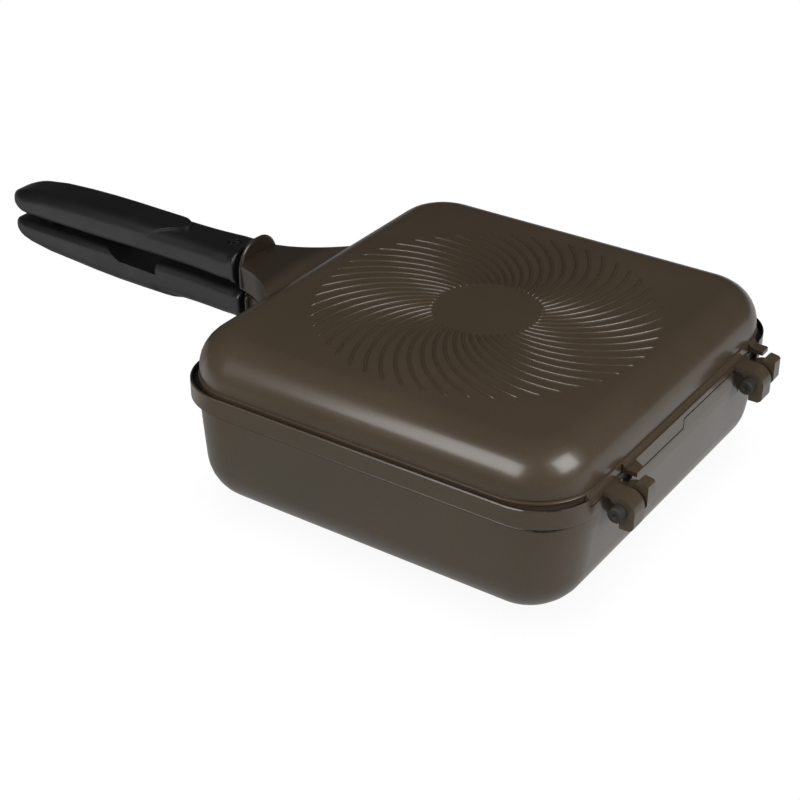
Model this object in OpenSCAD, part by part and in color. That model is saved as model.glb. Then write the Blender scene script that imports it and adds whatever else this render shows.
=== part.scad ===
// Square double-sided flip pan: two cast pans hinged face to face, each with its own half handle.
// Origin: middle of the lower base, on the ground. +X points to the hinges, the handles run to -X.

/* [Pans] */
// Half width of the lid's rim, across the hinge axis
rim_x = 110; // [104:1:116]
// Half width of the lid's rim, along the hinge axis
rim_y = 114; // [110:1:120]
// Corner radius of the rim in plan
rim_r = 32; // [30:1:34]
// Height of the lower pan's rim ledge, where the seal lands
ledge_z = 65; // [64:0.1:65.4]
// Overall height of the closed pans
top_z = 92; // [91:0.5:96]
// Radius of the round edge under the lower pan
base_fillet = 23; // [18:1:24]
// Radius of the lid's round shoulder
lid_shoulder = 19.8; // [15:0.2:20]
// Thickness of the cast walls
wall = 3.2; // [2.8:0.1:3.6]
// Thickness of the two cooking floors
floor_t = 4.2; // [3.6:0.1:5]
// Width that the collar stands out of the lower wall
collar_w = 2.5; // [2:0.1:2.6]

/* [Hinges] */
// Distance of the hinge axis from the middle of the pans
axis_x = 121; // [120.6:0.1:121.4]
// Height of the hinge axis
axis_z = 58.7; // [58.5:0.1:58.9]
// Radius of the hinge pins
pin_r = 3.9; // [3.4:0.1:4]
// Running clearance of the hooks on the pins, on the radius
pin_play = 0.06; // [0.02:0.01:0.1]
// Outer radius of the lid's hooks
hook_r = 7.7; // [7.2:0.1:7.9]
// Distance between the middles of the two hinges
hinge_gap = 137; // [130:0.5:140]

/* [Handles] */
// Distance of the handle tips from the middle of the pans
tip_x = 325; // [310:1:340]
// Distance of the grips' front ends from the middle of the pans
grip_x = 150; // [148:0.5:152]
// Height of the plane between the two handles
part_z = 65; // [64.5:0.1:65.5]
// Half of the gap between the two grips
half_gap = 1.9; // [1.5:0.1:2.5]
// Half width of a grip along its middle
grip_w = 12.8; // [11:0.1:14]
// Thickness of a grip along its middle
grip_t = 21; // [19:0.2:22]

/* [Hidden] */

corner_steps = 14;          // facets in a quarter of a pan's corner
draft = 0.065;              // slope of the cast walls
hinge_draft = 0.14;         // slope of the lower wall under the hinges
collar_z = 56.7;            // underside of the collar
collar_top = 67.6;          // top of the collar
collar_t = 1.2;             // thickness of the collar's upright edge
sink = 0.4;                 // how far the lid's rim draws in under its bead
lid_z = ledge_z + 0.3;      // underside of the lid's rim
bead_z = 68.6;              // middle of the lid's rim bead
flush_x = rim_x + 2.3;      // the hinge side's flush face above the collar's underside
step_z = ledge_z - 2;       // lower rim between the hinges, under the lid's flange
lip_z = step_z + 0.8;       // underside of the lid's flange, hooks and prongs
groove = 0.8;               // depth of the groove under the collar

// One hinge, measured along Y from the free end of its pin
pin_out = -3;
hook_y0 = 2;
hook_y1 = 11.6;
lug_y0 = 13.4;
lug_y1 = 20.2;
notch_y1 = 24.1;
prong_y1 = 31.1;
group_w = 26.5;
prong_x = 117.8;

// The tab of the lid that stands in a notch of the lower rim
tab_y0 = -46;
tab_y1 = 2;
tab_drop = 5.4;

// Ends of the lid's flange along Y
flange_y0 = -90;
flange_y1 = (hinge_gap - group_w) / 2 + prong_y1;

neck_gap = 3.4;             // bare neck between an arm's end flange and its grip
low_reach = 3;              // how much nearer to the pans the lower grip starts
flange_t = 2.6;             // thickness of the arms' end flanges
flange_w = 16;              // half width and height of the end flanges
flange_h = 26.4;
neck_w = 14.6;              // half width of an arm at neck_x
neck_x = 149;
eaves_h = 17;               // height of an arm's eaves above the parting plane
ridge_h = 18.6;             // height of its ridge
screw_x = 161;
seat_h = 16.7;              // height of the screws' seats above the parting plane
magnet_x = 300;
magnet_r = 6;

// ---------- general shapes ----------

// Corner points of a rounded rectangle, x0..x1 by y0..y1, with corner radius r
function rounded(x0, x1, y0, y1, r, n) = [
    for (q = [[x1 - r, y1 - r, 0], [x0 + r, y1 - r, 90], [x0 + r, y0 + r, 180], [x1 - r, y0 + r, 270]])
        for (i = [0 : n]) let (a = q[2] + 90 * i / n) [q[0] + r * cos(a), q[1] + r * sin(a)]
];

// A flat outline lifted to a height
function at_z(outline, z) = [for (p = outline) [p[0], p[1], z]];

// A Y-Z outline, drawn as seen from the tip of the handles, set at a place along -X
function at_x(outline, x) = [for (p = outline) [-x, -p[0], p[1]]];

// A closed solid through rings that all have the same number of points
module loft(rings) {
    n = len(rings[0]);
    last = len(rings) - 1;
    polyhedron(
        points = [for (ring = rings) each ring],
        faces = concat(
            [[for (i = [0 : n - 1]) i]],
            [[for (i = [n - 1 : -1 : 0]) last * n + i]],
            [for (k = [0 : last - 1]) for (i = [0 : n - 1]) let (j = (i + 1) % n)
                each [[k * n + i, (k + 1) * n + i, (k + 1) * n + j], [k * n + i, (k + 1) * n + j, k * n + j]]]
        ),
        convexity = 6
    );
}

// A straight bar of X-Z section from y0 to y1
module along_y(y0, y1) {
    translate([0, y1, 0]) rotate([90, 0, 0]) linear_extrude(y1 - y0) children();
}

// ---------- the pans' shells ----------

// One level of the lid: the rim's outline drawn in by inset
function lid_ring(inset, z) =
    at_z(rounded(inset - rim_x, rim_x - inset, inset - rim_y, rim_y - inset, rim_r - inset, corner_steps), z);

// Levels of a round shoulder of radius r that ends at height top
function shoulder(r, inset, top, n) =
    [for (i = [0 : n]) let (a = 90 * i / n) [inset + r * (1 - cos(a)), top - r * (1 - sin(a))]];

// How far the lower wall has drawn in at height z, on the three plain sides and on the hinge side
function side_in(z) = (collar_z - z) * draft;
function hinge_in(z) = let (d = max(0, collar_z - z)) hinge_draft * (d < 8 ? d * d / 16 : d - 4);

// One level of the lower pan, moved in by inset all round, and by side on the three plain sides only
function lower_ring(inset, z, side = 0) =
    let (in = inset + side + side_in(z))
    at_z(rounded(in - rim_x + 0.7, flush_x - hinge_in(z) - inset, in - rim_y - 0.4, rim_y + 0.4 - in,
                 rim_r - 1 - in, corner_steps), z);

// Levels of a round bottom edge of radius r that starts at height low
function bottom_edge(r, inset, low, n) =
    [for (i = [0 : n]) let (a = 90 * i / n) [inset + r * (1 - sin(a)), low + r * (1 - cos(a))]];

module lid_outside() {
    loft(concat(
        [for (s = [[sink, lid_z], [sink, bead_z - 0.9], [0, bead_z - 0.5], [0, bead_z + 0.3],
                   [0.3, bead_z + 0.6], [0.95, bead_z + 0.8], [0.95, bead_z + 1.3], [0.6, bead_z + 1.7]])
            lid_ring(s[0], s[1])],
        [for (s = shoulder(lid_shoulder, 0.6, top_z, 9)) lid_ring(s[0], s[1])]
    ));
}

module lid_inside() {
    loft(concat(
        [lid_ring(wall, lid_z - 1)],
        [for (s = shoulder(lid_shoulder - wall, wall + 0.6, top_z - floor_t, 7)) lid_ring(s[0], s[1])]
    ));
}

module lower_outside() {
    loft(concat(
        [for (s = bottom_edge(base_fillet, 0, 0, 9)) lower_ring(s[0], s[1])],
        [for (d = [8, 5.5]) lower_ring(0, collar_z - d)],
        [for (s = [[0, 1.5], [0.12, 1], [0.45, 0.6], [1, 0.3], [1, -3]])
            lower_ring(0, collar_z - s[1], groove * s[0])],
        [lower_ring(0, ledge_z)]
    ));
}

module lower_inside() {
    loft(concat(
        [for (s = bottom_edge(base_fillet - wall, wall, floor_t, 7)) lower_ring(s[0], s[1])],
        [lower_ring(wall + 0.4, ledge_z + 1)]
    ));
}

// Outline of the collar, moved in by inset; it meets the flush face of the hinge side
function collar_outline(inset, flush) =
    rounded(inset - rim_x - collar_w - 0.4, flush_x - flush, inset - rim_y - collar_w,
            rim_y + collar_w - inset, rim_r - 1 - inset, corner_steps);

// The upright collar that the lid drops into, cut away between the hinges
module collar() {
    difference() {
        loft([for (s = [[1.6, collar_z + 0.6], [0.5, collar_z + 0.9], [0, collar_z + 1.4],
                        [0, collar_top - 0.5], [0.5, collar_top]]) at_z(collar_outline(s[0], 0), s[1])]);
        translate([0, 0, ledge_z]) linear_extrude(10) polygon(collar_outline(collar_t, 0.5));
        translate([0, 0, collar_z - 3]) linear_extrude(20)
            polygon(rounded(wall - rim_x, rim_x - wall - 1, wall - rim_y, rim_y - wall, rim_r - wall,
                            corner_steps));
    }
}

// ---------- hinges ----------

// Places children once for each hinge, with y = 0 at the free end of the pin
module each_hinge() {
    for (side = [-1, 1]) translate([0, side * hinge_gap / 2 - group_w / 2, 0]) children();
}

// Moves a flat X-Z shape to the hinge axis
module on_axis() {
    translate([axis_x, axis_z]) children();
}

// The lower pan's lug: a knuckle round the pin with an upright ear that stops the lid
module lug() {
    along_y(lug_y0, lug_y1) difference() {
        on_axis() union() {
            circle(r = 6.9, $fn = 64);
            polygon([[-12, 3], [-6, 3.6], [-3, 5.6], [1, 6.4], [1.6, 9.7], [2.8, 10.9], [7, 10.2], [7.9, 9.3],
                     [7.9, -0.6], [5.4, -5], [-2, -7.6], [-12, -13]]);
        }
        on_axis() circle(r = pin_r, $fn = 64);
    }
}

// The lid's hook: an arm that leaves the rim and wraps the pin from above
module hook() {
    difference() {
        union() {
            along_y(hook_y0, hook_y1) on_axis() {
                circle(r = hook_r, $fn = 64);
                polygon([[0, 0], [0, -9], [5.4, -9], [7, -7.8], [hook_r - 0.2, -6.4], [hook_r - 0.2, 0]]);
                translate([-14, 3]) square([14, hook_r - 3]);
            }
            translate([0, 0, lip_z]) linear_extrude(axis_z + hook_r - lip_z)
                polygon([[rim_x - 2, hook_y0], [rim_x - 2, lug_y0 - 0.4], [rim_x + 3, lug_y0 - 0.4],
                         [rim_x + 6, hook_y1], [rim_x + 6, hook_y0]]);
        }
        along_y(hook_y0 - 4, hook_y1 + 1) on_axis() union() {
            circle(r = pin_r + pin_play, $fn = 64);
            polygon([[0, 0], [0.4, -12], [-16, -12], [-16, lip_z - axis_z], [-5.4, lip_z - axis_z]]);
        }
    }
}

// The short prong of the lid beyond the lug
module prong() {
    translate([0, 0, lip_z]) linear_extrude(66 - lip_z)
        polygon([[rim_x - 2, notch_y1], [rim_x - 2, prong_y1 + 4], [flush_x, prong_y1 + 3],
                 [prong_x - 0.8, prong_y1], [prong_x, prong_y1 - 0.8], [prong_x, notch_y1]]);
}

// The hooks and prongs, kept clear of the lower rim's ledge and of the collar's far end
module lid_hinges() {
    difference() {
        each_hinge() {
            hook();
            prong();
        }
        translate([0, -rim_y, 0]) cube([rim_x - 0.2, 2 * rim_y, lid_z]);
        translate([rim_x - 5, flange_y1, 0]) cube([20, 10, lid_z + 2]);
    }
}

// The flange of the lid along the hinge side, with the tab that drops into the lower rim
module lid_flange() {
    difference() {
        intersection() {
            union() {
                along_y(flange_y0, flange_y1)
                    polygon([[rim_x - 6, lid_z + 0.4], [rim_x - 0.2, lid_z + 0.4], [rim_x - 0.2, lip_z],
                             [axis_x, lip_z], [axis_x, 66.4], [rim_x + 1.2, 66.8],
                             [rim_x + 0.2, 68.2], [rim_x - 1.4, 69.2], [rim_x - 6, 69.2]]);
                translate([rim_x - 0.2, tab_y0 + 0.6, lip_z - tab_drop])
                    cube([20, tab_y1 - tab_y0 - 1.2, tab_drop + 1]);
            }
            linear_extrude(100) polygon(collar_outline(0.1, 0.1));
        }
        each_hinge() translate([rim_x - sink, lug_y0 - 0.4, step_z - 1])
            cube([10, notch_y1 - lug_y0 + 0.4, 20]);
    }
}

// The step that the lid's flange fills, the notch for its tab, and the reliefs in the wall that
// let the hooks swing past
module flange_step() {
    translate([rim_x - 0.6, flange_y0 - 0.4, step_z]) cube([10, flange_y1 - flange_y0 + 0.9, 10]);
    translate([rim_x - 0.6, tab_y0, step_z - tab_drop]) cube([10, tab_y1 - tab_y0, tab_drop + 1]);
    each_hinge() along_y(hook_y0 - 0.5, hook_y1 + 0.8)
        polygon([[axis_x, 46], [rim_x + 1.4, 46], [rim_x + 0.9, 50], [rim_x + 0.9, step_z + 0.1],
                 [axis_x, step_z + 0.1]]);
}

// ---------- arms and grips; drawn for the upper handle, above a parting face at z = 0 ----------

// A rounded D: flat below, round above, half width w, from z0 to z1
function dee(w, z0, z1, low_r, top_r, n = 5) = concat(
    [for (i = [0 : n]) let (a = -90 + 90 * i / n) [w - low_r + low_r * cos(a), z0 + low_r + low_r * sin(a)]],
    [for (i = [0 : n]) let (a = 90 * i / n) [w - top_r + top_r * cos(a), z1 - top_r + top_r * sin(a)]],
    [for (i = [0 : n]) let (a = 90 + 90 * i / n) [top_r - w + top_r * cos(a), z1 - top_r + top_r * sin(a)]],
    [for (i = [0 : n]) let (a = 180 + 90 * i / n) [low_r - w + low_r * cos(a), z0 + low_r + low_r * sin(a)]]
);

// Half of the section of an arm: half width w, eaves at height e with a round edge of radius r, ridge at h
function half_roof(w, e, h, r, n = 4) = concat(
    [[w - 1, 0]],
    [for (i = [0 : n]) let (a = 90 * i / n) [w - r + r * cos(a), e - r + r * sin(a)]],
    [[0.8, h]]
);

function mirrored(half) = concat(half, [for (i = [len(half) - 1 : -1 : 0]) [-half[i][0], half[i][1]]]);

// Half width of an arm at x, flaring from its flange to its root
function arm_w(x) = let (s = neck_x - x) neck_w + 0.175 * s + 0.0099 * s * s;

// An arm from root_x to the end flange before the grip that starts at front, and the neck and the
// tang that run on into the grip; slim draws the arm's sides in, low is its clearance from z = 0
module arm(root_x, front, slim, low) {
    end = front - neck_gap;
    loft([for (x = concat([root_x], [for (i = [0 : 6]) 113 + 4 * i], [end - 1.2]))
        at_x(mirrored(half_roof(arm_w(x) - slim, eaves_h, ridge_h, 2.4)), x)]);
    loft([for (s = [[0, 1.1], [0.5, 0.3], [1, 0], [flange_t - 1, 0], [flange_t - 0.5, 0.3], [flange_t, 1]])
        at_x(dee(flange_w - s[1], low, flange_h - s[1], 2, 14.2, 8), end - flange_t + s[0])]);
    loft([for (x = [end - 1, front - 0.6]) at_x(dee(flange_w - 4.6, 2.6, 20, 2, 10), x)]);
    translate([-grip_x - 40.6, -6, 8]) cube([50, 12, 7]);
}

module arm_screw_hole() {
    translate([-screw_x, 0, -1]) cylinder(r = 2, h = 30, $fn = 32);
}

// Height of a grip's crown above the parting face at a distance x from the middle of the pans
function crown(x) = grip_t + 0.4 * pow(max(0, (185 - x) / 35), 2)
    - 4.5 * pow(max(0, (x - 235) / 94), 2) - 3.4 * pow(max(0, (x - 290) / 36), 1.6);

// Half width of a grip at x
function half_w(x) =
    grip_w + 3.2 * pow(max(0, (190 - x) / 40), 1.6) + 0.9 * sin(180 * max(0, (x - 215) / 114));

// How much of its belly a grip has at x
function swell(x) = sin(180 * max(0, min(1, (x - 150) / 124)));

// One section of a grip; sunk lowers its crown and shoulders, belly thickens its middle, shy draws
// it in all round, and the sections near the tip shrink towards tip_mid to round it off
tip_mid = 9.4;
function grip_ring(x, sunk, belly, shy = 0) =
    let (t = max(0, (x - tip_x + 16) / 16), round = sqrt(max(0.02, 1 - t * t)), close = 0.82 * (1 - round),
         w = max(half_w(x) * pow(round, 0.8), 3.6) - shy, top = crown(x) + belly * swell(x) - sunk - shy,
         z0 = half_gap + (tip_mid - half_gap) * close, z1 = top - (top - tip_mid) * close, h = z1 - z0)
    at_x(dee(w, z0, z1, min(4.6, h * 0.4, w * 0.7), min(7.2, h * 0.5, w * 0.8)), x);

// The rounded lip at a grip's front end, as steps back from the end and inwards
front_lip = [[0, 1.5], [0.35, 0.7], [1, 0.15], [1.8, 0], [2.8, 0.1], [4.4, 0.6], [6.4, 0.8]];
grip_stations = [163, 168, 175, 183, 193];
tip_stations = [205, 222, 240, 258, 276, 294, tip_x - 16, tip_x - 11, tip_x - 7.5, tip_x - 4.5,
                tip_x - 2.2, tip_x - 0.7, tip_x];

// Plan of the raised palm pad: it runs from the tip to a U-shaped front edge
module pad_plan() {
    polygon(concat([[-tip_x - 2, -30], [-215, -30]],
                   [for (y = [-13 : 2 : 13]) [-193 - 0.13 * y * y, y]],
                   [[-215, 30], [-tip_x - 2, 30]]));
}

module grip_form(front, belly) {
    union() {
        loft(concat(
            [for (s = front_lip) grip_ring(front + s[0], 0.9, belly, s[1])],
            [for (x = concat(grip_stations, tip_stations)) grip_ring(x, x > 300 ? 0.2 : 1.7, belly)]
        ));
        intersection() {
            loft([for (x = concat([190, 197], tip_stations)) grip_ring(x, 0, belly)]);
            linear_extrude(60) pad_plan();
        }
    }
}

// The finger notch across a grip's parting face, with a sloped start and a square end
module finger_notch(depth) {
    translate([0, -20, 0]) rotate([-90, 0, 0]) linear_extrude(40)
        polygon([[-210, 0], [-210, -half_gap - depth], [-237, -half_gap - 0.85 * depth],
                 [-248, -half_gap], [-248, 0]]);
}

// A grip with its tang slot, screw hole and magnet pocket; notch is the depth of its finger notch
module grip(front, notch, belly) {
    difference() {
        grip_form(front, belly);
        translate([-grip_x - 42, -6.05, 7.95]) cube([50, 12.1, 7.1]);
        translate([-screw_x, 0, 10]) cylinder(r = 2.05, h = 20, $fn = 32);
        translate([-screw_x, 0, seat_h]) cylinder(r = 3.6, h = 10, $fn = 32);
        translate([-magnet_x, 0, 0]) cylinder(r = magnet_r, h = 5, $fn = 48);
        finger_notch(notch);
    }
}

// A countersunk cross-head screw that holds a grip on its tang
module grip_screw() {
    translate([-screw_x, 0, 0]) difference() {
        union() {
            translate([0, 0, 8.5]) cylinder(r = 2, h = seat_h - 8, $fn = 32);
            translate([0, 0, seat_h]) cylinder(r = 3.5, h = 1.6, $fn = 32);
            translate([0, 0, seat_h + 1.6]) cylinder(r1 = 3.5, r2 = 2.6, h = 0.6, $fn = 32);
        }
        for (turn = [0, 90]) rotate([0, 0, turn]) translate([-1.9, -0.4, seat_h + 0.9]) cube([3.8, 0.8, 2]);
    }
}

module grip_magnet() {
    translate([-magnet_x, 0, 0.15]) cylinder(r = magnet_r, h = 4.85, $fn = 48);
}

// Places children for the upper handle, or mirrored for the lower one
module upper_handle() {
    translate([0, 0, part_z]) children();
}

module lower_handle() {
    translate([0, 0, part_z]) mirror([0, 0, 1]) children();
}

// ---------- the separate pieces ----------

module lower_pan() {
    color([0.30, 0.28, 0.25]) difference() {
        union() {
            difference() {
                union() {
                    lower_outside();
                    collar();
                }
                flange_step();
            }
            intersection() {
                lower_handle() arm(rim_x - 2, grip_x - low_reach, 2, 2.2);
                translate([-400, -60, 0]) cube([400, 120, part_z - 2.2]);
            }
            each_hinge() lug();
        }
        lower_inside();
        lower_handle() arm_screw_hole();
    }
}

module upper_pan() {
    color([0.30, 0.27, 0.23]) difference() {
        union() {
            lid_outside();
            lid_flange();
            lid_hinges();
            difference() {
                upper_handle() arm(rim_x - 3, grip_x, 0, 0.8);
                translate([-rim_x - 3.6, -60, 0]) cube([20, 120, collar_top + 0.5]);
                translate([-rim_x - 60, -60, 0]) cube([70, 120, part_z + 0.8]);
            }
        }
        lid_inside();
        seal_ring(0);
        upper_handle() arm_screw_hole();
    }
}

// The silicone ring in the lid's rim, grown by extra all round
module seal_ring(extra) {
    translate([0, 0, ledge_z]) linear_extrude(2.5 + extra) difference() {
        polygon(rounded(1 - rim_x, rim_x - 1, 1 - rim_y, rim_y - 1, rim_r - 1, corner_steps));
        polygon(rounded(2.4 - rim_x, rim_x - 2.4, 2.4 - rim_y, rim_y - 2.4, rim_r - 2.4, corner_steps));
    }
}

module rim_seal() {
    color([0.16, 0.16, 0.16]) seal_ring(0);
}

module hinge_pin() {
    color([0.35, 0.34, 0.33]) translate([axis_x, pin_out, axis_z]) rotate([-90, 0, 0]) difference() {
        union() {
            cylinder(r1 = pin_r - 0.8, r2 = pin_r, h = 0.8, $fn = 64);
            translate([0, 0, 0.8]) cylinder(r = pin_r, h = lug_y1 - pin_out - 0.8, $fn = 64);
        }
        translate([0, 0, -0.01]) cylinder(r1 = 1.5, r2 = 0.6, h = 0.8, $fn = 32);
    }
}

module near_hinge_pin() {
    translate([0, -hinge_gap / 2 - group_w / 2, 0]) hinge_pin();
}

module far_hinge_pin() {
    translate([0, hinge_gap / 2 - group_w / 2, 0]) hinge_pin();
}

module lower_grip() {
    color([0.10, 0.10, 0.10]) lower_handle() grip(grip_x - low_reach, 7.2, 1.8);
}

module upper_grip() {
    color([0.10, 0.10, 0.10]) upper_handle() grip(grip_x, 1.2, 0);
}

module lower_grip_screw() {
    color([0.62, 0.62, 0.62]) lower_handle() grip_screw();
}

module upper_grip_screw() {
    color([0.62, 0.62, 0.62]) upper_handle() grip_screw();
}

module lower_magnet() {
    color([0.55, 0.55, 0.56]) lower_handle() grip_magnet();
}

module upper_magnet() {
    color([0.55, 0.55, 0.56]) upper_handle() grip_magnet();
}

lower_pan();
upper_pan();
rim_seal();
near_hinge_pin();
far_hinge_pin();
lower_grip();
upper_grip();
lower_grip_screw();
upper_grip_screw();
lower_magnet();
upper_magnet();
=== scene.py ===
"""Square double-sided flip pan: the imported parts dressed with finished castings, grips and fittings.

The file is laid out as an add-on: sizes, finishes and studio settings are property groups, each
group of pieces is made by its own operator, and the panel in the 3D view's sidebar lists them.
Lengths are metres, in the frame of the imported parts: +X points to the hinges, the handles run to -X.
"""
from math import cos, pi, radians, sin

import bpy
from bpy.props import FloatProperty, FloatVectorProperty, IntProperty, PointerProperty
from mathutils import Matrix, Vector


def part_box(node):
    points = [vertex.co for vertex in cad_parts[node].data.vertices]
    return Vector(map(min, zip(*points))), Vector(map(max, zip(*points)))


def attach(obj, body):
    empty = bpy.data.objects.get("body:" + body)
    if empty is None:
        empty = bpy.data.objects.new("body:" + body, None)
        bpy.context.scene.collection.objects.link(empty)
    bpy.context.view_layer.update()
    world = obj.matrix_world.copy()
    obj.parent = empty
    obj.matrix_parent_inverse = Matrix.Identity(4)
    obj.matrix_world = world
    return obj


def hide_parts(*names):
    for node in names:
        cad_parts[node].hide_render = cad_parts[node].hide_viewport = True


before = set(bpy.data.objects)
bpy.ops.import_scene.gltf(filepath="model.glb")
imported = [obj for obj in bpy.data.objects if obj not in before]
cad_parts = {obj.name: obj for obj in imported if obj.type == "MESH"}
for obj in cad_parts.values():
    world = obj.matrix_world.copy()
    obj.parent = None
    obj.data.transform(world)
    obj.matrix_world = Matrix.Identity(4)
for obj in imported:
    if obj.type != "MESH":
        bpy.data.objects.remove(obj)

bl_info = {
    "name": "Flip pan",
    "version": (1, 0, 0),
    "blender": (4, 5, 0),
    "location": "3D View > Sidebar > Flip pan",
    "description": "Dresses the flip pan's parts with finished castings, grips and fittings",
    "category": "Object",
}

LID_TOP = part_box("upper_pan")[1][2]
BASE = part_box("lower_pan")[0][2]
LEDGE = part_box("rim_seal")[0][2]        # the rim ledge, where the two pans meet

# The recesses in the lower wall under the lid's prongs, whose faces get the dark inside coating as painted
# shade
RECESS_X = (0.1101, 0.1140)
RECESS_Y = (0.0005, 0.0104)             # from a hinge pin's end on the side of the prongs
RECESS_Z = (-0.0072, -0.0010)           # from the rim ledge

# Which faces of the castings have the cooking surface's dark coating
CAVITY_INSET = 0.0025                   # inwards of the rim seal
CAVITY_DEPTH = 0.0615                   # up and down from the rim ledge
WALL_SLOPE = 0.4                        # a wall's normal rises or falls less than this

# The path of one rib
RIB_STEPS = 24
RIB_ENDS = (0.0, 0.006, 0.02)           # closer points near both ends, as shares of its length
RIB_TIP = 0.25                          # thickness of the tips, as a share of the full one
RIB_TAPER = 100.0                       # how fast the tips reach the full thickness

CAST_CORNER = (0.08, -0.085, 0.08)      # the lid's near corner, at which both softboxes aim
WHITE = (1.0, 1.0, 1.0, 1.0)


# ---------- settings ----------

class FlipPanSizes(bpy.types.PropertyGroup):
    """Sizes of the details that dress the castings and grips"""
    casting_edge: FloatProperty(
        name="Casting edge", description="Width of the small round on the castings' sharp edges",
        default=0.00025, min=0.0001, max=0.001, subtype="DISTANCE", unit="LENGTH")
    grip_edge: FloatProperty(
        name="Grip edge", description="Width of the small round on the grips' sharp edges",
        default=0.0007, min=0.0001, max=0.002, subtype="DISTANCE", unit="LENGTH")
    rib_count: IntProperty(
        name="Ribs", description="Number of curved ribs in one swirl", default=51, min=12, max=90)
    rib_inner: FloatProperty(
        name="Rib start", description="Radius of the bare disc inside the swirl",
        default=0.0272, min=0.02, max=0.04, subtype="DISTANCE", unit="LENGTH")
    rib_outer: FloatProperty(
        name="Rib end", description="Radius at which the ribs end",
        default=0.0882, min=0.06, max=0.1, subtype="DISTANCE", unit="LENGTH")
    rib_width: FloatProperty(
        name="Rib width", description="Width of a rib", default=0.0011, min=0.0005, max=0.003,
        subtype="DISTANCE", unit="LENGTH")
    rib_height: FloatProperty(
        name="Rib height", description="How far a rib stands out of the casting",
        default=0.0008, min=0.0001, max=0.001, subtype="DISTANCE", unit="LENGTH")
    rib_sweep: FloatProperty(
        name="Rib sweep", description="How far a rib turns about the swirl's middle from start to end",
        default=radians(40.9), min=0.0, max=radians(90), subtype="ANGLE", unit="ROTATION")
    rib_phase: FloatProperty(
        name="Rib phase", description="Direction of the first rib's start",
        default=radians(-5.3), min=-pi, max=pi, subtype="ANGLE", unit="ROTATION")
    swirl_middle: FloatVectorProperty(
        name="Swirl middle", description="Middle of the swirl on the lid", size=2,
        default=(0.0025, -0.002), subtype="XYZ", unit="LENGTH")


class FlipPanFinish(bpy.types.PropertyGroup):
    """Colours of the finishes"""
    coating: FloatVectorProperty(
        name="Coating", description="Brown non-stick coating of the castings",
        default=(0.062, 0.043, 0.026), min=0.0, max=1.0, size=3, subtype="COLOR")
    coating_fleck: FloatVectorProperty(
        name="Coating fleck", description="Fine bright flecks in the coating",
        default=(0.10, 0.078, 0.056), min=0.0, max=1.0, size=3, subtype="COLOR")
    cooking: FloatVectorProperty(
        name="Cooking surface", description="Darker non-stick coating inside the pans",
        default=(0.016, 0.0155, 0.015), min=0.0, max=1.0, size=3, subtype="COLOR")
    cooking_fleck: FloatVectorProperty(
        name="Cooking fleck", description="Fine grey flecks of the cooking surface",
        default=(0.09, 0.09, 0.088), min=0.0, max=1.0, size=3, subtype="COLOR")
    grip: FloatVectorProperty(
        name="Grip", description="Black moulded plastic of the grips",
        default=(0.0052, 0.0052, 0.0055), min=0.0, max=1.0, size=3, subtype="COLOR")
    seal: FloatVectorProperty(
        name="Seal", description="Dark silicone of the rim seal",
        default=(0.02, 0.02, 0.021), min=0.0, max=1.0, size=3, subtype="COLOR")
    pin: FloatVectorProperty(
        name="Pin", description="Dark burnished steel of the hinge pins",
        default=(0.030, 0.028, 0.025), min=0.0, max=1.0, size=3, subtype="COLOR")
    steel: FloatVectorProperty(
        name="Steel", description="Plain steel of the grips' screws",
        default=(0.32, 0.32, 0.325), min=0.0, max=1.0, size=3, subtype="COLOR")
    magnet: FloatVectorProperty(
        name="Magnet", description="Black coating of the magnets",
        default=(0.012, 0.012, 0.013), min=0.0, max=1.0, size=3, subtype="COLOR")


class FlipPanStudio(bpy.types.PropertyGroup):
    """Camera and lamps"""
    camera_place: FloatVectorProperty(
        name="Camera", description="Where the camera stands", size=3,
        default=(0.4065, -0.6729, 0.5006), subtype="TRANSLATION", unit="LENGTH")
    camera_aim: FloatVectorProperty(
        name="Aim", description="Where the camera looks", size=3,
        default=(-0.04502, -0.00958, 0.02708), subtype="TRANSLATION", unit="LENGTH")
    lens: FloatProperty(
        name="Lens", description="Focal length in millimetres on a 36 mm wide frame",
        default=79.3, min=20.0, max=200.0, subtype="DISTANCE_CAMERA")
    left_power: FloatProperty(
        name="Left softbox", description="Power of the softbox at the front left", default=3.7, min=0.0,
        max=200.0, subtype="POWER", unit="POWER")
    left_size: FloatVectorProperty(
        name="Left size", description="Width and height of the left softbox", size=2,
        default=(0.55, 0.43), subtype="XYZ", unit="LENGTH")
    right_power: FloatProperty(
        name="Right softbox", description="Power of the softbox on the hinge side", default=4.0, min=0.0,
        max=200.0, subtype="POWER", unit="POWER")
    right_size: FloatVectorProperty(
        name="Right size", description="Width and height of the right softbox", size=2,
        default=(0.46, 0.46), subtype="XYZ", unit="LENGTH")
    left_direction: FloatVectorProperty(
        name="Left direction", description="Compass direction and height of the left softbox", size=2,
        default=(radians(-107.0), radians(32.0)), subtype="XYZ", unit="ROTATION")
    right_direction: FloatVectorProperty(
        name="Right direction", description="Compass direction and height of the right softbox", size=2,
        default=(radians(5.0), radians(38.0)), subtype="XYZ", unit="ROTATION")
    lamp_distance: FloatProperty(
        name="Lamp distance", description="Distance of the softboxes from the lid's near corner",
        default=0.75, min=0.3, max=3.0, subtype="DISTANCE", unit="LENGTH")


# ---------- modelling helpers ----------

def select_nothing():
    """Leaves edit mode and deselects every object."""
    if bpy.context.object and bpy.context.object.mode != "OBJECT":
        bpy.ops.object.mode_set(mode="OBJECT")
    bpy.ops.object.select_all(action="DESELECT")


def take(o):
    """Selects just this object and makes it active."""
    select_nothing()
    o.select_set(True)
    bpy.context.view_layer.objects.active = o


def apply_modifier(o, kind, **values):
    """Adds one modifier with these values and applies it."""
    take(o)
    bpy.ops.object.modifier_add(type=kind)
    m = o.modifiers[-1]
    for key, value in values.items():
        setattr(m, key, value)
    bpy.ops.object.modifier_apply(modifier=m.name)


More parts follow.
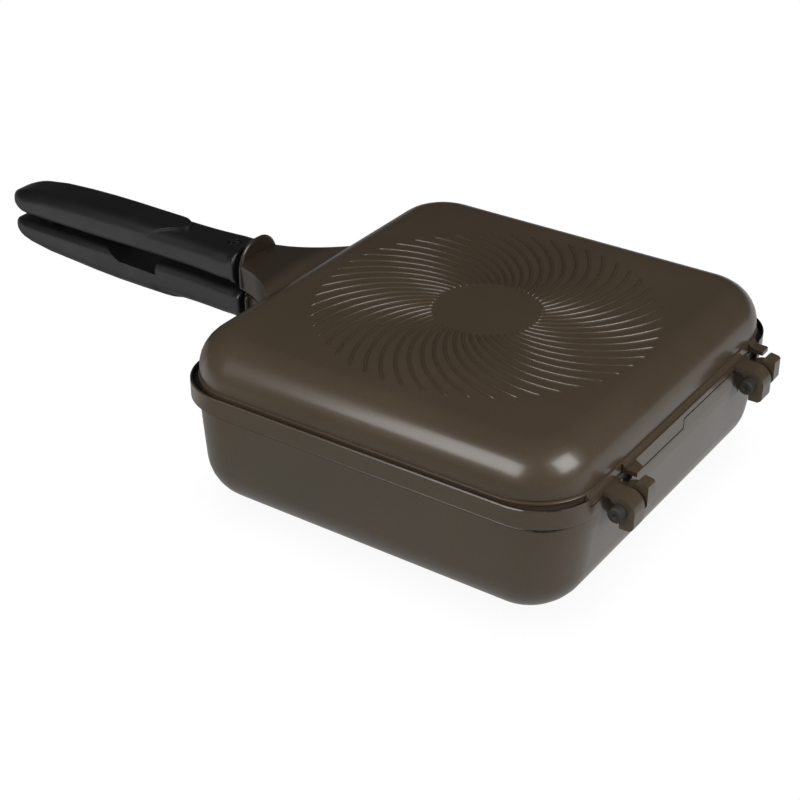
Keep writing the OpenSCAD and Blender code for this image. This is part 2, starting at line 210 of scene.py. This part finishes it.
def merged_copy(node, name):
    """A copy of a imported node's mesh, its loose triangles merged and its flat faces whole."""
    o = bpy.data.objects.new(name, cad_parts[node].data.copy())
    bpy.context.scene.collection.objects.link(o)
    o.data.name = name
    o.data.materials.clear()
    take(o)
    bpy.ops.object.mode_set(mode="EDIT")
    bpy.ops.mesh.select_all(action="SELECT")
    bpy.ops.mesh.remove_doubles(threshold=2e-6)
    bpy.ops.mesh.customdata_custom_splitnormals_clear()
    bpy.ops.mesh.dissolve_degenerate(threshold=1e-6)
    bpy.ops.mesh.dissolve_limited(angle_limit=radians(0.4))
    bpy.ops.object.mode_set(mode="OBJECT")
    return o


def soften(o, width, angle=35.0):
    """Rounds the sharp edges a little and shades the rest smooth."""
    apply_modifier(o, "BEVEL", width=width, segments=2, limit_method="ANGLE",
                   angle_limit=radians(angle), use_clamp_overlap=True)
    take(o)
    bpy.ops.object.shade_smooth_by_angle(angle=radians(angle))
    apply_modifier(o, "WEIGHTED_NORMAL", keep_sharp=True, weight=60)


def recess(o, low, high):
    """Cuts a small recess out of a piece, between two corners."""
    select_nothing()
    bpy.ops.mesh.primitive_cube_add(size=1.0, location=(0, 0, 0))
    cutter = bpy.context.object
    for corner in cutter.data.vertices:
        corner.co = [b if c > 0 else a for a, b, c in zip(low, high, corner.co)]
    apply_modifier(o, "BOOLEAN", object=cutter, operation="DIFFERENCE", solver="EXACT")
    take(cutter)
    bpy.ops.object.delete()


def dress(o, body, slot, material, *nodes):
    """Gives a finished piece its material and its body and hides the imported nodes it stands for; the slot
    argument is not used.
    """
    if not o.data.materials:
        o.data.materials.append(material)
    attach(o, body)
    if nodes:
        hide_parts(*nodes)


# ---------- shader helpers ----------

def add_node(tree, kind, values=(), **settings):
    """A shader node with its settings and its sockets' values; a value may be a link's start."""
    n = tree.nodes.new(kind)
    for key, value in settings.items():
        setattr(n, key, value)
    for key, value in dict(values).items():
        socket = n.inputs[key]
        if isinstance(value, bpy.types.NodeSocket):
            tree.links.new(value, socket)
        else:
            socket.default_value = value
    return n


def rgba(colour):
    return (*colour, 1.0)


def new_group(name, inputs, outputs):
    """An empty shader group; inputs and outputs map names to socket types or default values."""
    tree = bpy.data.node_groups.new(name, "ShaderNodeTree")
    for key, default in inputs.items():
        kind = "NodeSocketColor" if isinstance(default, tuple) else "NodeSocketFloat"
        tree.interface.new_socket(key, in_out="INPUT", socket_type=kind).default_value = default
    for key, kind in outputs.items():
        tree.interface.new_socket(key, in_out="OUTPUT", socket_type=kind)
    return tree, tree.nodes.new("NodeGroupInput").outputs, tree.nodes.new("NodeGroupOutput").inputs


def spread(tree, value, low, high, to_low, to_high):
    """Maps a value's range on to another range."""
    return add_node(tree, "ShaderNodeMapRange", {
        "Value": value, "From Min": low, "From Max": high, "To Min": to_low, "To Max": to_high}).outputs[0]


def mix_colour(tree, share, a, b, blend="MIX"):
    n = add_node(tree, "ShaderNodeMix", data_type="RGBA", blend_type=blend)
    for socket, value in ((n.inputs[0], share), (n.inputs[6], a), (n.inputs[7], b)):
        if isinstance(value, bpy.types.NodeSocket):
            tree.links.new(value, socket)
        else:
            socket.default_value = value
    return n.outputs[2]


def math_node(tree, operation, a, b):
    return add_node(tree, "ShaderNodeMath", {0: a, 1: b}, operation=operation).outputs[0]


def times(tree, a, b):
    return math_node(tree, "MULTIPLY", a, b)


def larger(tree, a, b):
    return math_node(tree, "MAXIMUM", a, b)


def toned(tree, colour, tone):
    """A colour made darker or lighter by a factor."""
    grey = add_node(tree, "ShaderNodeCombineColor", {0: tone, 1: tone, 2: tone}).outputs[0]
    return mix_colour(tree, 1.0, colour, grey, "MULTIPLY")


def flecked_coat():
    """Sprayed non-stick coating: soft orange peel, tiny flecks, slow changes of tone, and painted shade that
    darkens the handle arms.
    """
    if "flecked_coat" in bpy.data.node_groups:
        return bpy.data.node_groups["flecked_coat"]
    tree, given, out = new_group(
        "flecked_coat",
        {"Colour": (0.05, 0.04, 0.03, 1.0), "Fleck": (0.1, 0.1, 0.1, 1.0), "Fleck Share": 0.1,
         "Fleck Scale": 2200.0, "Peel Scale": 700.0, "Gloss": 0.35, "Arm Painted Shade": 1.0},
        {"Colour": "NodeSocketColor", "Roughness": "NodeSocketFloat", "Height": "NodeSocketFloat"})
    place = add_node(tree, "ShaderNodeTexCoord").outputs["Object"]
    peel = add_node(tree, "ShaderNodeTexNoise", {
        "Vector": place, "Scale": given["Peel Scale"], "Detail": 3.0, "Roughness": 0.55}).outputs[0]
    slow = add_node(tree, "ShaderNodeTexNoise", {
        "Vector": place, "Scale": 16.0, "Detail": 2.0, "Roughness": 0.5}).outputs[0]
    cells = add_node(tree, "ShaderNodeTexVoronoi", {"Vector": place, "Scale": given["Fleck Scale"]})
    pick = add_node(tree, "ShaderNodeSeparateColor", {"Color": cells.outputs["Color"]}).outputs[0]
    chosen = math_node(tree, "LESS_THAN", pick, given["Fleck Share"])
    core = spread(tree, cells.outputs["Distance"], 0.15, 0.45, 1.0, 0.0)
    fleck = times(tree, chosen, core)
    x = add_node(tree, "ShaderNodeSeparateXYZ", {"Vector": place}).outputs[0]
    # Painted shade: the coating is darker on the handle arms, beyond the pans' wall.
    painted_arm_shade = spread(tree, x, -0.122, -0.113, given["Arm Painted Shade"], 1.0)
    tone = times(tree, spread(tree, slow, 0.3, 0.7, 0.93, 1.07), painted_arm_shade)
    flecked = mix_colour(tree, fleck, given["Colour"], given["Fleck"])
    rough = math_node(tree, "ADD", given["Gloss"], spread(tree, slow, 0.3, 0.7, -0.025, 0.035))
    tree.links.new(toned(tree, flecked, tone), out["Colour"])
    tree.links.new(math_node(tree, "SUBTRACT", rough, times(tree, fleck, 0.06)), out["Roughness"])
    tree.links.new(math_node(tree, "ADD", peel, times(tree, fleck, 0.15)), out["Height"])
    return tree


def moulded_grain():
    """Fine grain of moulded plastic or rubber, with rubbed places that are a little shinier."""
    if "moulded_grain" in bpy.data.node_groups:
        return bpy.data.node_groups["moulded_grain"]
    tree, given, out = new_group(
        "moulded_grain",
        {"Colour": (0.01, 0.01, 0.01, 1.0), "Grain Scale": 1400.0, "Gloss": 0.4, "Rub": 0.1},
        {"Colour": "NodeSocketColor", "Roughness": "NodeSocketFloat", "Height": "NodeSocketFloat"})
    place = add_node(tree, "ShaderNodeTexCoord").outputs["Object"]
    grain = add_node(tree, "ShaderNodeTexVoronoi", {
        "Vector": place, "Scale": given["Grain Scale"], "Smoothness": 0.6},
        feature="SMOOTH_F1").outputs["Distance"]
    rub = add_node(tree, "ShaderNodeTexNoise", {
        "Vector": place, "Scale": 38.0, "Detail": 4.0, "Roughness": 0.6}).outputs[0]
    worn = spread(tree, rub, 0.45, 0.75, 0.0, 1.0)
    rubbed = mix_colour(tree, times(tree, worn, given["Rub"]), given["Colour"], (0.05, 0.05, 0.05, 1.0))
    shiny = math_node(tree, "SUBTRACT", given["Gloss"], times(tree, worn, 0.07))
    tree.links.new(rubbed, out["Colour"])
    tree.links.new(shiny, out["Roughness"])
    tree.links.new(grain, out["Height"])
    return tree


def turned_metal():
    """Fine lines of drawn or turned metal, with slow changes of shine."""
    if "turned_metal" in bpy.data.node_groups:
        return bpy.data.node_groups["turned_metal"]
    tree, given, out = new_group(
        "turned_metal", {"Colour": (0.4, 0.4, 0.4, 1.0), "Gloss": 0.3},
        {"Colour": "NodeSocketColor", "Roughness": "NodeSocketFloat", "Height": "NodeSocketFloat"})
    place = add_node(tree, "ShaderNodeTexCoord").outputs["Object"]
    along = add_node(tree, "ShaderNodeMapping", {"Vector": place, "Scale": (3000.0, 260.0, 3000.0)})
    lines = add_node(tree, "ShaderNodeTexNoise", {
        "Vector": along.outputs[0], "Scale": 1.0, "Detail": 2.0}).outputs[0]
    slow = add_node(tree, "ShaderNodeTexNoise", {"Vector": place, "Scale": 300.0, "Detail": 2.0}).outputs[0]
    tone = spread(tree, lines, 0.3, 0.7, 0.85, 1.12)
    rough = math_node(tree, "ADD", given["Gloss"], spread(tree, slow, 0.3, 0.7, -0.04, 0.08))
    tree.links.new(toned(tree, given["Colour"], tone), out["Colour"])
    tree.links.new(rough, out["Roughness"])
    tree.links.new(lines, out["Height"])
    return tree


def finish_material(name, group, values, bump, distance, constants):
    """A material whose looks come from a shader group; constants sit on the shader's own sockets."""
    if name in bpy.data.materials:
        return bpy.data.materials[name]
    m = bpy.data.materials.new(name)
    m.use_nodes = True
    tree = m.node_tree
    tree.nodes.clear()
    effect = add_node(tree, "ShaderNodeGroup", node_tree=group)
    for key, value in values.items():
        effect.inputs[key].default_value = value
    relief = add_node(tree, "ShaderNodeBump", {
        "Strength": bump, "Distance": distance, "Height": effect.outputs["Height"]})
    shader = add_node(tree, "ShaderNodeBsdfPrincipled", {
        "Base Color": effect.outputs["Colour"], "Roughness": effect.outputs["Roughness"],
        "Normal": relief.outputs[0], **constants})
    add_node(tree, "ShaderNodeOutputMaterial", {"Surface": shader.outputs[0]})
    return m


def coating_material():
    look = bpy.context.scene.flip_pan_finish
    return finish_material("coating_finish", flecked_coat(), {
        "Colour": rgba(look.coating), "Fleck": rgba(look.coating_fleck), "Fleck Share": 0.12,
        # The handle arms are painted half as bright, as painted shade.
        "Fleck Scale": 2300.0, "Peel Scale": 650.0, "Gloss": 0.33, "Arm Painted Shade": 0.5}, 0.1, 0.0002,
        {"Metallic": 0.0, "Specular IOR Level": 0.5, "Coat Weight": 0.5, "Coat Roughness": 0.17,
         "Coat IOR": 1.5})


def cooking_material():
    look = bpy.context.scene.flip_pan_finish
    return finish_material("cooking_finish", flecked_coat(), {
        "Colour": rgba(look.cooking), "Fleck": rgba(look.cooking_fleck), "Fleck Share": 0.1,
        "Fleck Scale": 1500.0, "Peel Scale": 520.0, "Gloss": 0.4}, 0.15, 0.0002,
        {"Metallic": 0.0, "Specular IOR Level": 0.5})


def grip_material():
    look = bpy.context.scene.flip_pan_finish
    return finish_material("grip_finish", moulded_grain(), {
        "Colour": rgba(look.grip), "Grain Scale": 1500.0, "Gloss": 0.42, "Rub": 0.12}, 0.18, 0.0002,
        {"Metallic": 0.0, "Specular IOR Level": 0.9})


def seal_material():
    look = bpy.context.scene.flip_pan_finish
    return finish_material("seal_finish", moulded_grain(), {
        "Colour": rgba(look.seal), "Grain Scale": 2600.0, "Gloss": 0.55, "Rub": 0.05}, 0.1, 0.0001,
        {"Metallic": 0.0, "Specular IOR Level": 0.4})


def pin_material():
    look = bpy.context.scene.flip_pan_finish
    return finish_material("pin_finish", turned_metal(), {"Colour": rgba(look.pin), "Gloss": 0.6},
                           0.1, 0.0001, {"Metallic": 0.1, "Specular IOR Level": 0.4})


def screw_material():
    look = bpy.context.scene.flip_pan_finish
    return finish_material("screw_finish", turned_metal(), {"Colour": rgba(look.steel), "Gloss": 0.3},
                           0.08, 0.0001, {"Metallic": 1.0})


def magnet_material():
    look = bpy.context.scene.flip_pan_finish
    return finish_material("magnet_finish", turned_metal(), {"Colour": rgba(look.magnet), "Gloss": 0.4},
                           0.05, 0.0001, {"Metallic": 0.3})


# ---------- pieces ----------

def darken_faces(o, test):
    """Gives the faces that pass the test the piece's second, dark material."""
    for face in o.data.polygons:
        if test(face.center, face.normal):
            face.material_index = 1


class FLIPPAN_OT_castings(bpy.types.Operator):
    """Makes the two finished pan castings, with small rounds on their edges, dark insides, and painted shade
    in the recesses under the lid's prongs
    """
    bl_idname = "flip_pan.castings"
    bl_label = "Pan castings"

    def execute(self, context):
        sizes = context.scene.flip_pan_sizes
        (x0, y0, _), (x1, y1, _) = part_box("rim_seal")
        pin_ends = [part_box(pin)[1][1] for pin in ("near_hinge_pin", "far_hinge_pin")]
        recesses = [[(RECESS_X[i], y + RECESS_Y[i], LEDGE + RECESS_Z[i]) for i in (0, 1)] for y in pin_ends]

        def in_cavity(c, n, facing):
            inside = (x0 + CAVITY_INSET < c.x < x1 - CAVITY_INSET and
                      y0 + CAVITY_INSET < c.y < y1 - CAVITY_INSET and abs(c.z - LEDGE) < CAVITY_DEPTH)
            inward = abs(n.z) < WALL_SLOPE and c.x * n.x + c.y * n.y < 0
            return inside and (n.z * facing > 0.02 or inward)

        # Faces in the prongs' recesses get the dark inside coating as painted shade.
        def in_painted_recess_shade(c):
            return any(all(a - 0.0001 < v < b + 0.0001 for a, v, b in zip(low, c, high))
                       for low, high in recesses)

        for node, name, body, slot, facing in (("lower_pan", "lower_casting", "lower", "pan_coating", 1),
                                               ("upper_pan", "lid_casting", "lid", "lid_coating", -1)):
            o = merged_copy(node, name)
            if body == "lower":
                for low, high in recesses:
                    recess(o, low, high)
            soften(o, sizes.casting_edge)
            o.data.materials.append(coating_material())
            o.data.materials.append(cooking_material())
            darken_faces(o, lambda c, n: in_cavity(c, n, facing) or body == "lower" and in_painted_recess_shade(c))
            dress(o, body, slot, coating_material(), node)
        return {"FINISHED"}


def rib_path(name, s, middle, facing):
    """The round-backed path of a swirl's first rib, thin at both ends."""
    select_nothing()
    bpy.ops.curve.primitive_nurbs_path_add(location=(0, 0, 0))
    o = bpy.context.object
    o.name = name
    spline = o.data.splines[0]
    shares = RIB_ENDS + tuple(i / RIB_STEPS for i in range(1, RIB_STEPS))
    shares += tuple(1 - t for t in reversed(RIB_ENDS))
    spline.points.add(len(shares) - len(spline.points))
    for t, point in zip(shares, spline.points):
        reach = s.rib_inner + (s.rib_outer - s.rib_inner) * t
        turn = s.rib_phase + s.rib_sweep * t
        point.co = (middle.x + reach * cos(turn), middle.y + facing * reach * sin(turn), middle.z, 1.0)
        point.radius = min(1.0, RIB_TIP + RIB_TAPER * min(t, 1 - t))
    spline.order_u = 3
    spline.use_endpoint_u = True
    o.data.resolution_u = 1
    o.data.bevel_depth = s.rib_width / 2
    o.data.bevel_resolution = 2
    o.data.use_fill_caps = True
    return o


class FLIPPAN_OT_swirls(bpy.types.Operator):
    """Makes the swirls of raised ribs on the lid and on the lower base"""
    bl_idname = "flip_pan.swirls"
    bl_label = "Swirl ribs"

    def execute(self, context):
        s = context.scene.flip_pan_sizes
        for name, body, slot, z, facing in (("lid_swirl", "lid", "lid_coating", LID_TOP, 1),
                                            ("base_swirl", "lower", "pan_coating", BASE, -1)):
            middle = Vector((*s.swirl_middle, z))
            o = rib_path(name, s, middle, facing)
            take(o)
            bpy.ops.object.convert(target="MESH")
            bpy.ops.object.mode_set(mode="EDIT")
            bpy.ops.mesh.select_all(action="SELECT")
            bpy.ops.transform.resize(value=(1, 1, 2 * s.rib_height / s.rib_width), center_override=middle)
            bpy.ops.mesh.remove_doubles(threshold=1e-6)
            bpy.ops.mesh.normals_make_consistent(inside=False)
            bpy.ops.mesh.spin(steps=s.rib_count - 1, dupli=True, use_normal_flip=False,
                              angle=2 * pi * (s.rib_count - 1) / s.rib_count, center=middle, axis=(0, 0, 1))
            bpy.ops.mesh.select_all(action="SELECT")
            bpy.ops.mesh.normals_make_consistent(inside=False)
            bpy.ops.object.mode_set(mode="OBJECT")
            bpy.ops.object.shade_smooth_by_angle(angle=radians(50))
            o.data.name = name
            dress(o, body, slot, coating_material())
        return {"FINISHED"}


class FLIPPAN_OT_grips(bpy.types.Operator):
    """Makes the two moulded grips, with softly rounded edges"""
    bl_idname = "flip_pan.grips"
    bl_label = "Grips"

    def execute(self, context):
        sizes = context.scene.flip_pan_sizes
        for node, name, body in (("lower_grip", "lower_grip_moulding", "lower"),
                                 ("upper_grip", "upper_grip_moulding", "lid")):
            o = merged_copy(node, name)
            soften(o, sizes.grip_edge, angle=32.0)
            dress(o, body, "grip", grip_material(), node)
        return {"FINISHED"}


class FLIPPAN_OT_fittings(bpy.types.Operator):
    """Gives the pins, screws, magnets and seal their finishes"""
    bl_idname = "flip_pan.fittings"
    bl_label = "Fittings"

    def execute(self, context):
        for material, nodes in ((pin_material(), ("near_hinge_pin", "far_hinge_pin")),
                                (screw_material(), ("lower_grip_screw", "upper_grip_screw")),
                                (magnet_material(), ("lower_magnet", "upper_magnet")),
                                (seal_material(), ("rim_seal",))):
            for node in nodes:
                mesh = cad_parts[node].data
                mesh.materials.clear()
                mesh.materials.append(material)
        return {"FINISHED"}


# ---------- stage ----------

def mirrored_floor(tree, x, y):
    """How bright the floor looks in the glossy pieces, by place: it fades towards the front and left."""
    by_pans = times(tree, spread(tree, y, -0.15, -0.04, 0.27, 0.54), spread(tree, x, -0.22, -0.10, 0.5, 1.0))
    by_grips = times(tree, spread(tree, x, -0.22, -0.17, 1.0, 0.0), spread(tree, y, -0.09, -0.05, 0.45, 0.0))
    in_front = spread(tree, y, -0.40, -0.20, 0.15, 1.0)
    return times(tree, math_node(tree, "ADD", by_pans, by_grips), in_front)


def floor_material():
    """White floor: plain white to the camera, softly shaded under the pan, dimmer in reflections and, in
    front of the pan, painted cyan in reflections.
    """
    m = bpy.data.materials.new("white_floor")
    m.use_nodes = True
    tree = m.node_tree
    tree.nodes.clear()
    rays = add_node(tree, "ShaderNodeLightPath").outputs
    glossy = rays["Is Glossy Ray"]
    seen = larger(tree, rays["Is Camera Ray"], larger(tree, glossy, rays["Is Transmission Ray"]))
    shade = add_node(tree, "ShaderNodeAmbientOcclusion", {"Distance": 0.02}, samples=8).outputs["AO"]
    white = spread(tree, shade, 0.0, 1.0, 0.93, 1.0)
    place = add_node(tree, "ShaderNodeTexCoord").outputs["Object"]
    x, y, _ = add_node(tree, "ShaderNodeSeparateXYZ", {"Vector": place}).outputs
    light = larger(tree, times(tree, mirrored_floor(tree, x, y), glossy),
                   times(tree, white, math_node(tree, "SUBTRACT", 1.0, glossy)))
    # Painted reflection: the floor in front of the pan is tinted cyan in glossy reflections.
    in_front = times(tree, spread(tree, y, -0.14, -0.11, 1.0, 0.0), spread(tree, x, -0.19, -0.16, 0.0, 1.0))
    painted_reflection_tint = mix_colour(tree, times(tree, glossy, in_front), WHITE, (0.82, 1.0, 0.98, 1.0))
    glow = add_node(tree, "ShaderNodeEmission", {"Color": painted_reflection_tint, "Strength": light})
    plain = add_node(tree, "ShaderNodeBsdfDiffuse", {"Color": (0.8, 0.8, 0.8, 1.0)})
    both = add_node(tree, "ShaderNodeMixShader", {0: seen, 1: plain.outputs[0], 2: glow.outputs[0]})
    below = add_node(tree, "ShaderNodeNewGeometry").outputs["Backfacing"]
    open_below = add_node(tree, "ShaderNodeMixShader", {
        0: below, 1: both.outputs[0], 2: add_node(tree, "ShaderNodeBsdfTransparent").outputs[0]})
    add_node(tree, "ShaderNodeOutputMaterial", {"Surface": open_below.outputs[0]})
    return m


def softbox(name, direction, distance, size, power):
    """A softbox at a compass direction and height about the lid's near corner, which it faces."""
    lamp = bpy.data.lights.new(name, "AREA")
    lamp.shape = "RECTANGLE"
    lamp.size, lamp.size_y = size
    lamp.energy = power
    o = bpy.data.objects.new(name, lamp)
    a, e = direction
    o.location = Vector(CAST_CORNER) + distance * Vector((cos(e) * cos(a), cos(e) * sin(a), sin(e)))
    o.rotation_euler = (Vector(CAST_CORNER) - o.location).to_track_quat("-Z", "Y").to_euler()
    bpy.context.scene.collection.objects.link(o)


def white_floor(level):
    """The floor, level with the lowest ribs."""
    select_nothing()
    bpy.ops.mesh.primitive_plane_add(size=8.0, location=(0, 0, 0))
    floor = bpy.context.object
    floor.name = "floor"
    bpy.ops.object.mode_set(mode="EDIT")
    bpy.ops.mesh.select_all(action="SELECT")
    bpy.ops.transform.translate(value=(0, 0, level))
    bpy.ops.object.mode_set(mode="OBJECT")
    floor.data.materials.append(floor_material())


def studio_world(scene):
    """White to the camera, a dark wall with a pale foot in reflections, a soft ceiling for diffuse light."""
    world = bpy.data.worlds.new("studio")
    scene.world = world
    world.use_nodes = True
    tree = world.node_tree
    tree.nodes.clear()
    rays = add_node(tree, "ShaderNodeLightPath").outputs
    seen = larger(tree, rays["Is Camera Ray"], rays["Is Transmission Ray"])
    up = add_node(tree, "ShaderNodeSeparateXYZ", {
        "Vector": add_node(tree, "ShaderNodeTexCoord").outputs["Generated"]}).outputs["Z"]
    wall = times(tree, rays["Is Glossy Ray"], spread(tree, up, -0.02, 0.03, 0.3, 0.05))
    ceiling = times(tree, rays["Is Diffuse Ray"], spread(tree, up, 0.2, 1.0, 0.03, 0.75))
    light = larger(tree, larger(tree, seen, wall), larger(tree, ceiling, 0.03))
    glow = add_node(tree, "ShaderNodeBackground", {"Strength": light})
    add_node(tree, "ShaderNodeOutputWorld", {"Surface": glow.outputs[0]})


def photo_camera(scene, studio):
    """The camera, at the place and with the lens that the photo was taken with."""
    camera = bpy.data.objects.new("camera", bpy.data.cameras.new("camera"))
    camera.data.lens = studio.lens
    camera.data.sensor_width = 36.0
    camera.data.sensor_fit = "HORIZONTAL"
    camera.location = studio.camera_place
    aim = Vector(studio.camera_aim) - Vector(studio.camera_place)
    camera.rotation_euler = aim.to_track_quat("-Z", "Y").to_euler()
    scene.collection.objects.link(camera)
    scene.camera = camera


class FLIPPAN_OT_stage(bpy.types.Operator):
    """Makes the white floor, the softboxes, the world and the camera"""
    bl_idname = "flip_pan.stage"
    bl_label = "Stage"

    def execute(self, context):
        scene = context.scene
        studio = scene.flip_pan_studio
        white_floor(BASE - scene.flip_pan_sizes.rib_height)
        softbox("softbox_right", studio.right_direction, studio.lamp_distance, studio.right_size,
                studio.right_power)
        softbox("softbox_left", studio.left_direction, studio.lamp_distance, studio.left_size,
                studio.left_power)
        studio_world(scene)
        photo_camera(scene, studio)
        scene.view_settings.view_transform = "Standard"
        return {"FINISHED"}


# ---------- add-on ----------

STEPS = (FLIPPAN_OT_castings, FLIPPAN_OT_swirls, FLIPPAN_OT_grips, FLIPPAN_OT_fittings, FLIPPAN_OT_stage)


class FLIPPAN_PT_panel(bpy.types.Panel):
    """Lists the settings and the steps"""
    bl_idname = "FLIPPAN_PT_panel"
    bl_label = "Flip pan"
    bl_space_type = "VIEW_3D"
    bl_region_type = "UI"
    bl_category = "Flip pan"

    def draw(self, context):
        for settings in ("flip_pan_sizes", "flip_pan_finish", "flip_pan_studio"):
            group = getattr(context.scene, settings)
            box = self.layout.box()
            for key in type(group).__annotations__:
                box.prop(group, key)
        for step in STEPS:
            self.layout.operator(step.bl_idname)


CLASSES = (FlipPanSizes, FlipPanFinish, FlipPanStudio, *STEPS, FLIPPAN_PT_panel)


def register():
    for c in CLASSES:
        bpy.utils.register_class(c)
    bpy.types.Scene.flip_pan_sizes = PointerProperty(type=FlipPanSizes)
    bpy.types.Scene.flip_pan_finish = PointerProperty(type=FlipPanFinish)
    bpy.types.Scene.flip_pan_studio = PointerProperty(type=FlipPanStudio)


def unregister():
    del bpy.types.Scene.flip_pan_studio
    del bpy.types.Scene.flip_pan_finish
    del bpy.types.Scene.flip_pan_sizes
    for c in reversed(CLASSES):
        bpy.utils.unregister_class(c)


def main():
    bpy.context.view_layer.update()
    register()
    bpy.ops.flip_pan.castings()
    bpy.ops.flip_pan.swirls()
    bpy.ops.flip_pan.grips()
    bpy.ops.flip_pan.fittings()
    bpy.ops.flip_pan.stage()


if __name__ == "__main__":
    main()
